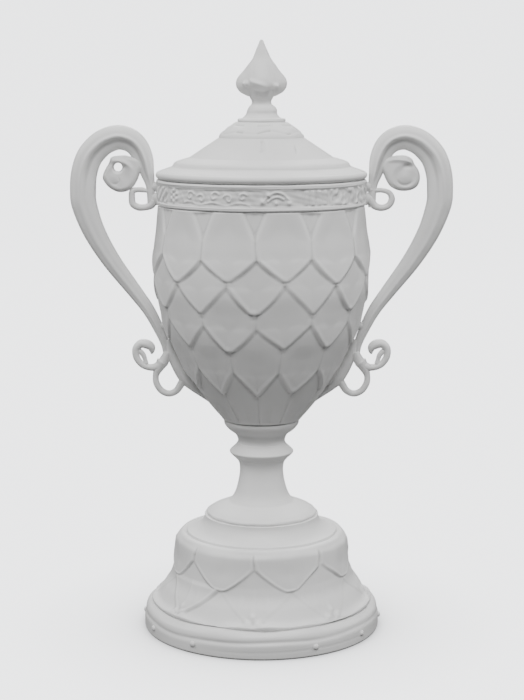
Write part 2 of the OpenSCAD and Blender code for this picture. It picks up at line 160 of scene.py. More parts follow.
def smooth(stations, steps):
    """Smooth line through stations: between b and c it is the cubic with the slopes (c - a)/2 and (d -
    b)/2."""
    p = np.array(stations, float)
    a, b, c, d = p[np.maximum(np.arange(len(p) - 1) - 1,
                              0)], p[:-1], p[1:], p[np.minimum(np.arange(len(p) - 1) + 2, len(p) - 1)]
    t = (np.arange(steps) / steps)[None, :, None]
    a, b, c, d = (q[:, None, :] for q in (a, b, c, d))
    line = 0.5 * (2 * b + (c - a) * t + (2 * a - 5 * b + 4 * c - d) * t**2 + (3 * b - a - 3 * c + d) * t**3)
    return np.vstack([line.reshape(-1, p.shape[1]), p[-1:]])


def walk(line, step):
    """The same line with each stretch cut into equal parts no longer than step."""
    ends = line[1:] - line[:-1]
    parts = np.maximum(np.ceil(np.linalg.norm(ends, axis=1) / step).astype(int), 1)
    stretch = np.repeat(np.arange(len(parts)), parts)
    share = (np.arange(len(stretch)) - np.repeat(np.cumsum(parts) - parts, parts)) / parts[stretch]
    return np.vstack([line[stretch] + ends[stretch] * share[:, None], line[-1:]])


def soften(line, radius):
    """Rounds each corner P of a line that turns by over 15 degrees: a parabola from P - radius a to P +
    radius b, with a and b the directions in and out of the corner."""
    before, after = line[1:-1] - line[:-2], line[2:] - line[1:-1]
    la, lb = np.linalg.norm(before, axis=1, keepdims=True), np.linalg.norm(after, axis=1, keepdims=True)
    turn = (before * after).sum(1) / (la * lb)[:, 0]
    r = np.minimum(radius, 0.4 * np.minimum(la, lb))
    start, end, corner = line[1:-1] - before / la * r, line[1:-1] + after / lb * r, line[1:-1]
    t = np.linspace(0, 1, 5)[None, :, None]
    curve = (1 - t)**2 * start[:, None] + 2 * t * (1 - t) * corner[:, None] + t**2 * end[:, None]
    sharp = turn < math.cos(math.radians(15))
    keep = np.where(sharp[:, None], True, np.arange(5) == 2)
    curve = np.where(sharp[:, None, None], curve, corner[:, None])
    return np.vstack([line[:1], curve[keep], line[-1:]])


def uneven(points, size, seed):
    """Soft unevenness of a hand-finished casting, from -1 to 1: nine sine waves of random directions, about
    size mm long."""
    draw = np.random.default_rng(seed)
    waves = draw.normal(size=(9, 3)) * 2.2 / size
    return np.sin(points @ waves.T + draw.uniform(0, 6.28, 9)).mean(-1) * 1.6


def hollows(grid, closed, reach):
    """How far each point of a grid lies under the mean of the points around it, in mm, along the outward
    normal: above 0 in a hollow, below 0 on an edge."""
    rows = np.pad(grid, ((reach, reach), (0, 0), (0, 0)), mode="wrap" if closed else "edge")
    wide = np.pad(rows, ((0, 0), (reach, reach), (0, 0)), mode="wrap")
    m, n = grid.shape[:2]
    around = sum(wide[i:i + m, j:j + n] for i in (0, reach, 2 * reach) for j in (0, reach, 2 * reach)) / 9
    along = wide[reach:-reach, reach + 1:reach + 1 + n] - wide[reach:-reach, reach - 1:reach - 1 + n]
    up = rows[reach + 1:reach + 1 + m] - rows[reach - 1:reach - 1 + m]
    normal = np.cross(along, up)
    normal /= np.maximum(np.linalg.norm(normal, axis=2, keepdims=True), 1e-9)
    return ((around - grid) * normal).sum(2)


def skin(name, grid, closed, body, replaced):
    """Joins a grid of points (rows, columns, xyz in mm) into a closed mesh in metres. Columns always run
    round. Rows run round too where closed; if not, each end row is closed by a fan to its middle point."""
    m, n = grid.shape[:2]
    number = np.arange(m * n).reshape(m, n)
    a = number if closed else number[:-1]
    c = np.roll(number, -1, 0) if closed else number[1:]
    quads = np.stack([a, np.roll(a, -1, 1), np.roll(c, -1, 1), c], -1).reshape(-1, 4)
    points, depth = grid.reshape(-1, 3), hollows(grid, closed, 2).ravel()
    fans = np.zeros((0, 3), int)
    if not closed:
        first, last = number[0], number[-1]
        fans = np.vstack([
            np.stack([np.full(n, m * n), np.roll(first, -1), first], 1),
            np.stack([np.full(n, m * n + 1), last, np.roll(last, -1)], 1)])
        points = np.vstack([points, grid[0].mean(0), grid[-1].mean(0)])
        depth = np.append(depth, (0, 0))
    mesh = bpy.data.meshes.new(name)
    mesh.vertices.add(len(points))
    mesh.vertices.foreach_set("co", (points / 1000).astype(np.float32).ravel())
    mesh.loops.add(quads.size + fans.size)
    mesh.loops.foreach_set("vertex_index", np.concatenate([quads.ravel(), fans.ravel()]).astype(np.int32))
    mesh.polygons.add(len(quads) + len(fans))
    starts = np.concatenate([np.arange(len(quads)) * 4, quads.size + np.arange(len(fans)) * 3])
    mesh.polygons.foreach_set("loop_start", starts.astype(np.int32))
    mesh.polygons.foreach_set("use_smooth", np.ones(len(starts), bool))
    mesh.update(calc_edges=True)
    mesh.validate()
    # The hollow attribute drives the painted shade of the cast finish: darker colour in hollows.
    mesh.attributes.new("hollow", "FLOAT", "POINT").data.foreach_set("value", depth.astype(np.float32))
    mesh.materials.append(cast)
    piece = bpy.data.objects.new(name, mesh)
    bpy.context.scene.collection.objects.link(piece)
    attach(piece, body)
    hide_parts(*replaced)


def around(r, a, z):
    """Points at radius r, azimuth a and height z: (r sin a, -r cos a, z)."""
    return np.stack([r * np.sin(a) + 0 * z, -r * np.cos(a) + 0 * z, z + 0 * a], -1)


def turned(name, line, columns, body, replaced, relief=None, wander=0.1, seed=1):
    """Surface of revolution: outline point i turned to azimuth a is (R sin a, -R cos a, z), with a from the
    front towards the right. Each point then moves along the outline's normal by relief(a, z), plus the
    casting's unevenness."""
    closed = line[0, 0] > 0.01
    ring = line if closed else line[1:-1]
    ahead, behind = np.roll(ring, -1, 0), np.roll(ring, 1, 0)
    if not closed:
        ahead[-1], behind[0] = ring[-1], ring[0]
    normal = (ahead - behind)[:, ::-1] * (1, -1)
    normal /= np.maximum(np.linalg.norm(normal, axis=1, keepdims=True), 1e-9)
    a = np.linspace(-math.pi, math.pi, columns, endpoint=False)[None, :]
    r, z = ring[:, :1], ring[:, 1:]
    lift = wander * uneven(around(r, a, z), 13, seed)
    if relief is not None:
        lift = lift + relief(a, z) * (normal[:, :1] > -0.2)
    r, z = r + lift * normal[:, :1], z + lift * normal[:, 1:]
    skin(name, around(r, a, z), closed, body, replaced)


def bump(x, middle, width):
    """A soft ridge: 1 at the middle, falling off over width."""
    return np.exp(-((x - middle) / width)**2)


def ramp(x, low, high):
    """0 below low, 1 above high, and a smooth climb between."""
    t = np.clip((x - low) / (high - low), 0, 1)
    return t * t * (3 - 2 * t)


# The finish of every cast piece: matte pale grey with a fine tooth. Its colour carries painted shade, darker
# in the hollows and creases, and it is paler where edges are rubbed.
painted_shade_and_wear_tree = bpy.data.node_groups.new("painted_shade_and_edge_wear", "ShaderNodeTree")
for label, kind, way in (("Hollow", "NodeSocketFloat", "INPUT"), ("Base", "NodeSocketColor", "INPUT"),
                         ("Patch", "NodeSocketFloat", "INPUT"),
                         ("Color", "NodeSocketColor", "OUTPUT"), ("Roughness", "NodeSocketFloat", "OUTPUT")):
    painted_shade_and_wear_tree.interface.new_socket(label, in_out=way, socket_type=kind)
given, given_out = painted_shade_and_wear_tree.nodes.new("NodeGroupInput"), painted_shade_and_wear_tree.nodes.new("NodeGroupOutput")

# Painted shade: hollows and creases darken the colour; edges turn paler, as rubbed wear.
depth = add_node(painted_shade_and_wear_tree, "ShaderNodeMapRange", {
    "Value": given.outputs["Hollow"], "From Min": -0.3, "From Max": 0.3, "To Min": 0, "To Max": 1})
tone = add_node(painted_shade_and_wear_tree, "ShaderNodeValToRGB", {"Fac": depth.outputs["Result"]})
colours(tone, (0.0, (1.0, 1.0, 1.0)), (0.38, (0.945, 0.945, 0.945)), (0.62, (0.925, 0.925, 0.925)),
        (1.0, (0.74, 0.74, 0.74)))
patch = add_node(painted_shade_and_wear_tree, "ShaderNodeMapRange", {
    "Value": given.outputs["Patch"], "From Min": 0.3, "From Max": 0.7, "To Min": 0.965, "To Max": 1.0})
toned = add_node(painted_shade_and_wear_tree, "ShaderNodeMix", {0: 1.0, 6: given.outputs["Base"], 7: tone.outputs["Color"]},
                 data_type="RGBA", blend_type="MULTIPLY")
patched = add_node(painted_shade_and_wear_tree, "ShaderNodeMix", {0: 1.0, 6: toned.outputs[2], 7: patch.outputs["Result"]},
                   data_type="RGBA", blend_type="MULTIPLY")
rough = add_node(painted_shade_and_wear_tree, "ShaderNodeMapRange", {
    "Value": depth.outputs["Result"], "From Min": 0.2, "From Max": 0.8, "To Min": 0.5, "To Max": 0.72})
painted_shade_and_wear_tree.links.new(patched.outputs[2], given_out.inputs["Color"])
painted_shade_and_wear_tree.links.new(rough.outputs["Result"], given_out.inputs["Roughness"])

cast, tree, shader, add = material("cast_pale_metal", 0.6)
place = add("ShaderNodeTexCoord")
cloud = add("ShaderNodeTexNoise", {"Vector": place.outputs["Object"], "Scale": 45.0, "Detail": 3.0})
grain = add("ShaderNodeTexNoise", {"Vector": place.outputs["Object"], "Scale": 1400.0, "Detail": 4.0})
hollow = add("ShaderNodeAttribute", attribute_name="hollow")
painted_shade_and_wear = add("ShaderNodeGroup", node_tree=painted_shade_and_wear_tree)
tree.links.new(hollow.outputs["Fac"], painted_shade_and_wear.inputs["Hollow"])
tree.links.new(cloud.outputs["Fac"], painted_shade_and_wear.inputs["Patch"])
painted_shade_and_wear.inputs["Base"].default_value = (0.8, 0.8, 0.795, 1)
tooth = add("ShaderNodeBump", {"Height": grain.outputs["Fac"], "Strength": 0.25, "Distance": 0.00012})
tree.links.new(painted_shade_and_wear.outputs["Color"], shader.inputs["Base Color"])
tree.links.new(painted_shade_and_wear.outputs["Roughness"], shader.inputs["Roughness"])
tree.links.new(tooth.outputs["Normal"], shader.inputs["Normal"])

roll = np.radians(np.arange(0, 91, 7.5))[:, None]
rim_line = soften(np.vstack([
    outline("foot_rim", [(-4.6, 6.7), (-4.6, 0), (-0.6, 0), (0, 0.8)]),
    outline("foot_rim", [(-7, 9.7)]) + np.hstack([7 * np.cos(roll), 9.6 * np.sin(roll)]),
    outline("foot_rim", [(-9.4, 19.3), (-8, 6.7), (-4.6, 6.7)])]), 0.4)[:-1]
rim_foot = box_of("foot_rim")[1]


def rim_relief(a, z):
    """A wandering furrow where wall and roll meet, a faint scored line in the wall, a roll that sags under
    the bell, and shallow dents; nothing stands proud of the casting's outline."""
    h = z - rim_foot
    fold = 11.2 + 0.9 * np.sin(2 * a + 0.4) + 0.5 * np.sin(5 * a + 1.9) + 0.3 * np.sin(9 * a)
    crest = 15.2 + 0.8 * np.sin(3 * a + 0.8) + 0.4 * np.sin(7 * a)
    groove = -(0.55 + 0.25 * np.sin(2 * a + 2.2)) * bump(h, fold, 1.4) - 0.3 * bump(h, fold + 0.9, 2.6)
    score = -0.22 * bump(h, 5.0 + 0.3 * np.sin(3 * a), 0.5) * ramp(np.sin(2 * a + 0.9), -0.2, 0.7)
    sag = -0.7 * ramp(h, crest, crest + 3.5) * (0.5 + 0.5 * np.sin(6 * a + 1.2 + np.sin(2 * a)))
    wall_radius = 85
    dents = -0.3 * (1 + uneven(around(wall_radius, a, z), 15, 53)) * ramp(h, 9, 13)
    return np.minimum(groove + score + sag + dents, 0)


turned("foot_rim_cast", walk(rim_line, 0.9), 420, "root", ["foot_rim"], rim_relief, wander=0.0)
paint("rim_studs", cast)


# ---- Bell ----
# The hollow cast dome of the foot. Eight lappets hang from its shoulder, each a shield with a blunt tip,
# and between their tips a second row of pointed leaves runs down to the rim.
bell_foot = box_of("bell")[1]
lappet_turn, lappet_pitch = math.radians(-26.5), math.radians(45)


def wrapped(a, start, pitch):
    """Angle from the middle of the nearest of the shapes that repeat every pitch, and that shape's number."""
    number = np.round((a - start) / pitch)
    return a - start - number * pitch, number


def plate(gap, rise, lip, soft):
    """Height of a raised leaf over its ground, from the distance inside its edge in mm:
    a climb over soft mm and a narrow lip that stands a little higher along the edge."""
    return rise * ramp(gap, -0.5 * soft, 0.5 * soft) + lip * bump(gap, 0.9 * soft, 0.9)


def bell_relief(a, z):
    """Raised lappets with a lip, folds between them, pointed leaves with veins below, and small knobs at
    the leaves' feet. A leaf's width grows with height above its foot, and its strength differs from leaf to
    leaf."""
    h = z - bell_foot
    a = a + 0.012 * np.sin(5 * a + h / 6) + 0.008 * np.sin(9 * a + 2)
    u, k = wrapped(a, lappet_turn, lappet_pitch)
    u = np.degrees(np.abs(u + 0.01 * np.sin(2.1 * k)))
    lappet_h = h + 0.7 * np.sin(1.7 * k + 0.5) + 0.5 * np.sin(11 * a)
    half = np.interp(lappet_h, [21.9, 22.3, 23.6, 27, 31, 34, 37, 42, 45, 50],
                     [0, 3.6, 6.2, 10.6, 15.2, 18.6, 21.6, 22.2, 22.6, 23.0])
    gap = (half - u) * 1.1
    gap = np.minimum(gap * 0.8, (lappet_h - 21.9) * 1.4 + 0 * gap)
    lappet = (plate(gap, 0.95 + 0.35 * np.sin(2.9 * k + 5 * u / 22), 0.35, 1.5) * ramp(48.5 - h, 0, 5)
              * (0.75 + 0.25 * ramp(30 - h, -14, 6)))
    fold = -0.55 * bump(u, 22.5, 1.1) * ramp(h, 36, 42) * ramp(48 - h, 0, 3)
    v, leaf_number = wrapped(a, lappet_turn + lappet_pitch / 2, lappet_pitch)
    right = np.where(v > 0, 1.0, 0.55)
    v = np.degrees(np.abs(v))
    leaf_half = 22.5 * np.clip((h + 1.2 * np.sin(2.3 * leaf_number) - 0.6) / 20.5, 0, 1)**0.85
    leaf_gap = (leaf_half - v) * 0.85
    strength = 0.22 + 1.15 * right * (bump(leaf_number, -1, 0.4) + 0.7 * bump(leaf_number, 2, 0.4))
    leaf = strength * plate(leaf_gap, 0.8, 0.3, 1.8) * ramp(24 - h, -1, 3)
    vein = (0.22 * bump(v, 0, 1.6) * ramp(h, 4, 9) * ramp(24 - h, 0, 6)
            + 0.18 * bump(v, 9 - 0.1 * h, 1.2) * ramp(h, 6, 12) * ramp(22 - h, 0, 6))
    knobs = (1.5 * bump(v, 3.0, 1.9) * bump(h, 3.0, 1.9) + 1.1 * bump(v, 0, 1.7) * bump(h, 6.6, 2.0)
             + 0.5 * bump(v, 6.5, 2.4) * bump(h, 1.6, 1.4))
    swell = 0.35 * bump(h, 45, 4.5) * (0.7 + 0.3 * np.sin(4 * a + 1))
    dent = -0.35 * bump(np.abs(u), 0, 7) * bump(h, 33, 5)
    brow = 0.25 * (1 + np.sin(6 * a + 2)) * ramp(h, 47, 49.2)
    toe = (1.5 + 0.8 * np.sin(5 * a + 1) + 0.6 * np.sin(13 * a + 2 * np.sin(3 * a))) * bump(h, 0.4, 2.2)
    return lappet + fold + (leaf + vein) * ramp(-gap, 0, 1) + knobs + swell + dent + toe + brow - 0.45


bell_out = smooth([(0, 0), (-3.4, 3.6), (-8, 10.6), (-13.1, 18.5), (-15.6, 31), (-17.1, 42), (-18.4, 46.6),
                   (-21, 49.4), (-23.8, 49.6)], 8)
bell_line = np.vstack([
    walk(outline("bell", bell_out), 0.8),
    walk(outline("bell", [(-24.9, 48.6), (-27, 48.4), (-74.8, 48.4), (-74.8, 46.6), (-25, 46.6), (-21, 45.4),
                          (-18.6, 40), (-17.8, 31), (-15.6, 18), (-10.4, 9.4), (-2.5, 0)]), 5)])
turned("bell_cast", bell_line, 560, "root", ["bell"], bell_relief, wander=0.12, seed=3)

# ---- Cove ring and stem ----
# A turned concave ring steps up to the disc at the foot of the waisted stem; both are cast and threaded on
# the rod. Above them come the sharp-edged knop and the socket that the bowl stands in.
cove = np.radians(np.arange(0, 91, 6))[:, None]
cove_line = soften(np.vstack([
    outline("cove_ring", [(-23.4, -1.4), (0.6, -1.4), (0.2, 0.2)]),
    outline("cove_ring", [(0, 1)]) + np.hstack([-12.8 * np.sin(cove), 10.4 * (1 - np.cos(cove))]),
    outline("cove_ring", [(-12.8, 12), (-23.4, 12), (-23.4, -1.4)])]), 0.5)[:-1]
turned("cove_ring_cast", walk(cove_line, 1.0), 300, "root", ["cove_ring"], wander=0.1, seed=4)

stem_foot = box_of("stem")[1]


def stem_relief(a, z):
    """The disc's rim is not quite even: a few shallow nicks and swellings along its lower edge."""
    h = z - stem_foot
    return (0.35 * bump(h, 1.2, 1.4) * (np.sin(7 * a + 1.3) * np.sin(3 * a) + 0.4 * np.sin(17 * a))
            - 0.2 * bump(h, 3.6, 1.1))


stem_line = soften(np.vstack([
    outline("stem", [(-33.4, 41), (-33.4, 0), (-0.7, 0), (0, 0.9), (-0.1, 1.9)]),
    outline("stem", smooth([(-0.6, 2.6), (-3.4, 4.4), (-8, 6.4), (-13, 8.5), (-17.2, 10.7), (-20.6, 16),
                            (-23.1, 25), (-24, 32.8), (-23.2, 38.1), (-21.1, 41)], 6)),
    outline("stem", [(-33.4, 41)])]), 0.4)[:-1]
turned("stem_cast", walk(stem_line, 1.0), 240, "root", ["stem"], stem_relief, wander=0.12, seed=5)

knop_line = soften(np.vstack([
    outline("knop", [(-18.7, 11.6), (-18.7, 0), (-4.4, 0)]),
    outline("knop", smooth([(-4, 0.6), (-1.1, 3.3), (0, 5), (-1.1, 6.6), (-4.3, 9.6), (-5.6, 11.6)], 8)),
    outline("knop", [(-18.7, 11.6)])]), 0.3)[:-1]
turned("knop_cast", walk(knop_line, 0.7), 200, "root", ["knop"], wander=0.12, seed=6)

socket_line = soften(np.vstack([
    outline("cup_socket", [(-22.8, 13.9), (-22.8, 0)]),
    outline("cup_socket", smooth([(-9.9, 0), (-10, 2.4), (-8.2, 6.4), (-3.6, 10), (-0.8, 13.2), (0, 15.7),
                                  (-0.4, 16.9)], 8)),
    outline("cup_socket", [(-1.2, 17.1), (-2.7, 17.1), (-2.7, 13.9), (-22.8, 13.9)])]), 0.3)[:-1]
turned("cup_socket_cast", walk(socket_line, 0.7), 240, "root", ["cup_socket"], wander=0.12, seed=7)

# ---- Bowl ----
# Raised sheet, chased all over with five rows of overlapping scales, twelve to a row, pointing down.
# Each row lies over the next one, and every second row is turned by half a scale.
bowl_foot = box_of("bowl")[1]
scale_pitch = math.radians(30)
# Rows from the rim down: azimuth of one scale, height of its shoulders, height of its tip
scale_rows = ((12.0, 125.3, 109.3), (-3.5, 107.4, 87.8), (12.0, 79.3, 62.2), (-3.5, 45.6, 28.8),
              (12.0, 3.2, -14.0))
bowl_out = smooth([(-48.8, 3.8), (-41, 12.25), (-32, 24), (-19, 44.6), (-10, 63.9), (-4.2, 82.6),
                   (-0.9, 99.4), (0, 114.6), (-0.9, 128.6), (-2.7, 142.6), (-3.9, 156.4)], 12)


def bowl_relief(a, z):
    """Height of the chased scales. Inside its outline a scale climbs from its root to its tip and carries a
    lip along its edge; the topmost scale that covers a point sets its height."""
    h = z - bowl_foot
    widest = 77
    half_scale = 15
    radius = np.interp(h, bowl_out[:, 1], bowl_out[:, 0] + widest)
    a = a + 0.011 * np.sin(3 * a + h / 21) + 0.006 * np.sin(7 * a - h / 13 + 1)
    h = h + 0.8 * np.sin(4 * a + h / 30) + 0.5 * np.sin(9 * a + 2)
    lift = np.full(np.broadcast(a, z).shape, -0.2)
    for number, (turn, shoulder, tip) in reversed(list(enumerate(scale_rows))):
        u, k = wrapped(a, math.radians(turn), scale_pitch)
        odd = np.sin(2.7 * k + 1.9 * number)
        left = np.where(u < 0, 1.0, 0.25)
        u = np.degrees(np.abs(u + 0.012 * odd * ramp(-h, -shoulder, -tip)))
        tip_here = tip + 1.3 * np.sin(4.3 * k + number)
        drop = np.clip((h - tip_here) / (shoulder - tip_here), 0, 1.0)
        half = half_scale * (drop + (0.05 + 0.04 * odd) * np.sin(math.pi * drop))
        blunt = (1.1 + 0.9 * np.sin(3.1 * k + 2 * number)) * ramp(drop, 0, 0.06)
        half = np.minimum(half + blunt * (1 - drop), half_scale)
        if number == 0:
            half = half * np.interp(h, [138, 157.5], [1, 0.54])
        per_degree = math.pi / 180 * radius
        slope = (0.25 + (half_scale * per_degree / (shoulder - tip) - 0.25)
                 * ramp(-h, -shoulder - 4, -shoulder + 4))
        gap = np.minimum((half - u) * per_degree / np.sqrt(1 + slope**2), 0.3 + 0.7 * (h - tip_here))
        root = shoulder + (shoulder - tip) * 1.15 if number else 157.5
        climb = np.clip((root - h) / (root - tip), 0, 1)
        rise = 0.1 + 1.05 * climb if number else 0.7 + 0.45 * climb
        dish = 0.95 * ramp(gap, 0.8, 13) * ramp(climb, -0.1, 0.35) * (1 + 0.25 * odd)
        lip = ((0.45 if number == 3 else 0.12 + 0.42 * left * (0.6 + 0.4 * odd)) * bump(gap, 1.7, 1.3)
               * ramp(climb, 0.35, 0.7))
        body = rise + lip - dish
        cover = ramp(gap, -1.2, 1.1)
        notch = 0.35 * bump(drop, 1.0, 0.22) * bump(u, half_scale, 2.4)
        lift = np.where(gap > -1.2, lift + (body - lift) * cover, lift - 0.12 * bump(gap, -1.6, 1.1)) - notch
    seam_fade = ramp(h, 3.6, 6.5) * ramp(157.2 - h, 0, 1.6)
    return (lift - 0.75) * seam_fade


bowl_line = np.vstack([
    outline("bowl", [(-72.8, 5), (-72.8, 0), (-52.9, 0), (-52.9, 3.4)]),
    walk(outline("bowl", bowl_out), 1.15),
    walk(soften(outline("bowl", [(-4.4, 156.7), (-5.1, 157.4), (-5.1, 175), (-7, 175), (-7, 161)]), 0.4), 4),
    walk(outline("bowl", smooth([(-6.2, 150), (-4.2, 140), (-2.2, 124), (-1.9, 114.6), (-3, 98), (-6.2, 82.9),
                                 (-12, 64), (-21, 44.9), (-34, 24.2), (-43.2, 12.6), (-51, 7),
                                 (-58, 5.1)], 2)), 8)])
turned("bowl_scaled", bowl_line, 448, "root", ["bowl"], bowl_relief, wander=0.08, seed=8)


# ---- Rim band and beads ----
# A strip of low scrolling foliage with fluted blocks and clusters of berries, soldered round the neck
# between two half-round wires.
band_foot = box_of("rim_band")[1]
band_radius = box_of("rim_band")[0]


def line_ridge(s, t, along, across, width):
    """Ridge along a line given by its points: exp(-(distance to the nearest point / width)^2)."""
    near = np.full(s.shape, 1e9)
    for x, y in zip(along, across):
        near = np.minimum(near, (s - x)**2 + (t - y)**2)
    return np.exp(-near / width**2)


def band_relief(a, z):
    """The strip of the front half, and the same again round the back: swirls and leaves to the left, a tall
    plume at the front, a block of upright flutes, and between the handles and the blocks a rosette of beads
    and clusters of berries."""
    t = (z - band_foot - 5.6) + 0 * a
    degrees = np.degrees(np.mod(a + math.pi / 2, math.pi) - math.pi / 2) + 0 * z

    def at(middle):
        """Distance round the band from an azimuth in degrees, in mm."""
        return np.radians(degrees - middle) * band_radius

    def zone(low, high):
        """1 between two azimuths in degrees, 0 outside."""
        return ramp(degrees, low - 0.8, low + 0.8) * ramp(-degrees, -high - 0.8, -high + 0.8)

    def dot(middle, level, size):
        """A round bead."""
        return bump(at(middle), 0, size) * bump(t, level, size)

    def swirl(middle, level, size, flip):
        """A tendril that winds in: its radius falls as exp(-angle / 4.2)."""
        angle = np.linspace(0, 5.2, 30)
        reach = size * np.exp(-angle / 4.2)
        return line_ridge(at(middle) * flip, t - level, reach * np.cos(angle + 0.5),
                          reach * np.sin(angle + 0.5), 0.7)

    rose = np.maximum.reduce([dot(-54.5, 0, 1.5)]
                             + [dot(-54.5 + 2.9 * np.sin(q), 3.6 * np.cos(q), 1.35)
                                for q in np.arange(0, 6.2, 1.05)])
    swirls = np.maximum.reduce([swirl(-41, 0.6, 3.9, 1), swirl(-33.5, -0.8, 3.6, -1),
                                swirl(-25.5, 0.8, 3.8, 1), swirl(-17.5, -0.6, 3.7, -1),
                                swirl(-10, 0.7, 3.4, 1)])
    vine = bump(t, -3.9 + 0.9 * np.sin(at(0) / 3.1), 0.75) * zone(-46, -6)
    arch_s = np.linspace(-9.5, 8, 30)
    plume = np.maximum(line_ridge(at(8), t, arch_s, 4.2 - 0.075 * arch_s**2, 0.9),
                       line_ridge(at(8), t, arch_s[6:24], 1.2 - 0.085 * arch_s[6:24]**2, 0.8))
    plume = np.maximum.reduce([plume, 2.0 * dot(0.5, -2.2, 1.9), 1.5 * dot(14.5, -3.0, 1.8),
                               1.3 * dot(7.5, -3.2, 1.5), 1.8 * dot(3.5, 2.4, 1.6)])
    flutes = (np.abs(np.cos(np.pi * (degrees - 24) / 3.9))**1.5 * zone(22, 37.4)
              * ramp(5.3 - np.abs(t), 0, 0.9))
    place = around(band_radius, a, z)
    berries = np.clip(0.35 + 1.3 * uneven(place, 2.4, 51), 0, 1) * (zone(39, 91) + zone(-91, -61))
    rough = 0.38 * uneven(place, 3.2, 52) * zone(-60, 38)
    lift = 1.15 * np.maximum.reduce([rose, 0.6 * swirls, 0.4 * vine, 0.85 * plume, 0.72 * flutes,
                                     0.95 * berries]) + rough
    edge = ramp(5.7 - np.abs(t), 0, 0.7)
    return lift * edge - 0.45 + 0.5 * (1 - edge)


band_line = soften(outline("rim_band", [(-1.5, 11.8), (-1.5, -0.6), (-0.1, -0.6), (-0.1, 11.8),
                                        (-1.5, 11.8)]), 0.3)[:-1]
turned("rim_band_chased", walk(band_line, 0.5), 1100, "root", ["rim_band"], band_relief, wander=0.06, seed=9)

wire = np.radians(np.arange(-90, 91, 15))[:, None]


def bead_relief(a, z):
    """A furrow that wanders along the wire's middle, and a slight twist of the wire."""
    furrow = bump(z, wire_middle + 0.35 * np.sin(2 * a) + 0.2 * np.sin(7 * a), 0.5)
    return -0.35 * furrow - 0.12 + 0.12 * np.sin(11 * a + 3 * np.sin(4 * a))


for number, node in enumerate(("lower_bead", "upper_bead")):
    wire_line = np.vstack([outline(node, [(-2.4, 3.4), (-2.4, 0)]),
                           outline(node, [(-1.7, 1.7)])
                           + np.hstack([1.7 * np.cos(wire), 1.7 * np.sin(wire)])])
    wire_middle = box_of(node)[1] + (1.9 if number == 0 else 1.5)
    turned(f"{node}_wire", walk(wire_line, 0.6), 480, "root", [node], bead_relief, wander=0.05,
           seed=10 + number)

# ---- Lid ----
# A spun lid with a rolled rim, a stepped skirt and a straight cone up to a small crown; its bezel drops
# inside the bowl. The spinning left a few shallow creases, one of them straight down the front of the cone.
roll_line = np.vstack([outline("lid_rim_wire", [(-3.1, 5.2), (-3.1, 0.1)]),
                       outline("lid_rim_wire", [(-2.9, 2.7)])
                       + np.hstack([2.9 * np.cos(wire), 2.7 * np.sin(wire)])])


def roll_relief(a, z):
    """The roll is a little thinner in places round the rim."""
    return -0.1 + 0.1 * np.sin(5 * a + 2 * np.sin(3 * a))


turned("lid_rim_roll", walk(roll_line, 0.7), 420, "lid", ["lid_rim_wire"], roll_relief, wander=0.0)
lid_foot = box_of("lid_shell")[1]


def lid_relief(a, z):
    """Marks of the spinning: a crease down the front of the cone, a slanting one beside it, a broken step
    under the crown, a ledge at its top and a line on the skirt."""
    h = z - lid_foot
    crease = (-1.0 * bump(a, 0.0, 0.05) * ramp(h, 18, 22) * ramp(29 - h, 0, 2)
              + 0.3 * bump(a, 0.09, 0.04) * ramp(h, 15, 19) * ramp(29 - h, 0, 4))
    slant = -0.7 * bump(a - 0.02 * (h - 22), 0.62, 0.03) * bump(h, 22, 3)
    nick = (-1.35 * bump(h, 33.0 + 0.5 * np.sin(3 * a + 1) + 0.9 * np.sin(7 * a), 0.75)
            * (0.3 + 0.7 * ramp(np.cos(9 * a - 0.6) + np.cos(2 * a), 0.6, 1.2)))
    ledge = -0.6 * bump(h, 37.6 + 0.3 * np.sin(4 * a), 0.6) * ramp(np.sin(7 * a + 1), -0.4, 0.3)
    line = (-0.3 * bump(h, 9.6 + 0.25 * np.sin(3 * a + 2), 0.5)
            * (0.5 + 0.5 * ramp(np.sin(a + 0.6), -0.5, 0.5)))
    return crease + slant + nick + ledge + line


lid_line = soften(np.vstack([
    outline("lid_shell", [(-1.8, 0), (0, 0), (0, 5.4), (-0.6, 6.0)]),
    outline("lid_shell", smooth([(-0.6, 6.0), (-5, 7.5), (-8.2, 8.7)], 5))[1:],
    outline("lid_shell", smooth([(-9.4, 10.0), (-10.6, 11.6), (-12.6, 12.7), (-16, 13.8), (-21, 15.2)], 5)),
    outline("lid_shell", smooth([(-41.5, 28.8), (-41.9, 30.4), (-43.4, 32.4), (-46.9, 35.3), (-50.5, 37.8),
                                 (-53.5, 39.6)], 6)),
    outline("lid_shell", [(-68.8, 39.6), (-68.8, 37.8), (-55.5, 37.8), (-47.5, 31.0), (-44.5, 28.6),
                          (-23, 13.2), (-15, 10.8), (-10.8, 7.4), (-5, 5.3), (-1.8, 3.6),
                          (-1.8, 0)])]), 0.5)[:-1]
lid_top = int(np.argmax(lid_line[:, 1]))
turned("lid_spun", np.vstack([walk(lid_line[:lid_top + 1], 0.9), walk(lid_line[lid_top + 1:], 5)]), 440,
       "lid", ["lid_shell"], lid_relief, wander=0.12, seed=12)
paint("lid_bezel", cast)

# ---- Finial ----
# A cast bud on a moulded foot, screwed through the crown of the lid.
# Four folded petals stand out round the bud's lower half, and its top is drawn out like a flame.
base_foot = box_of("finial_base")[1]


def base_relief(a, z):
    """The moulding leans to one side, with a furrow over its foot and an uneven lower edge."""
    h = z - base_foot
    return (0.5 * bump(h, 9, 2.6) * np.sin(a + 0.5) - 0.35 * bump(h, 3.1 + 0.3 * np.sin(2 * a), 0.6)
            + 0.3 * bump(h, 1, 1.2) * np.sin(2 * a + 2))


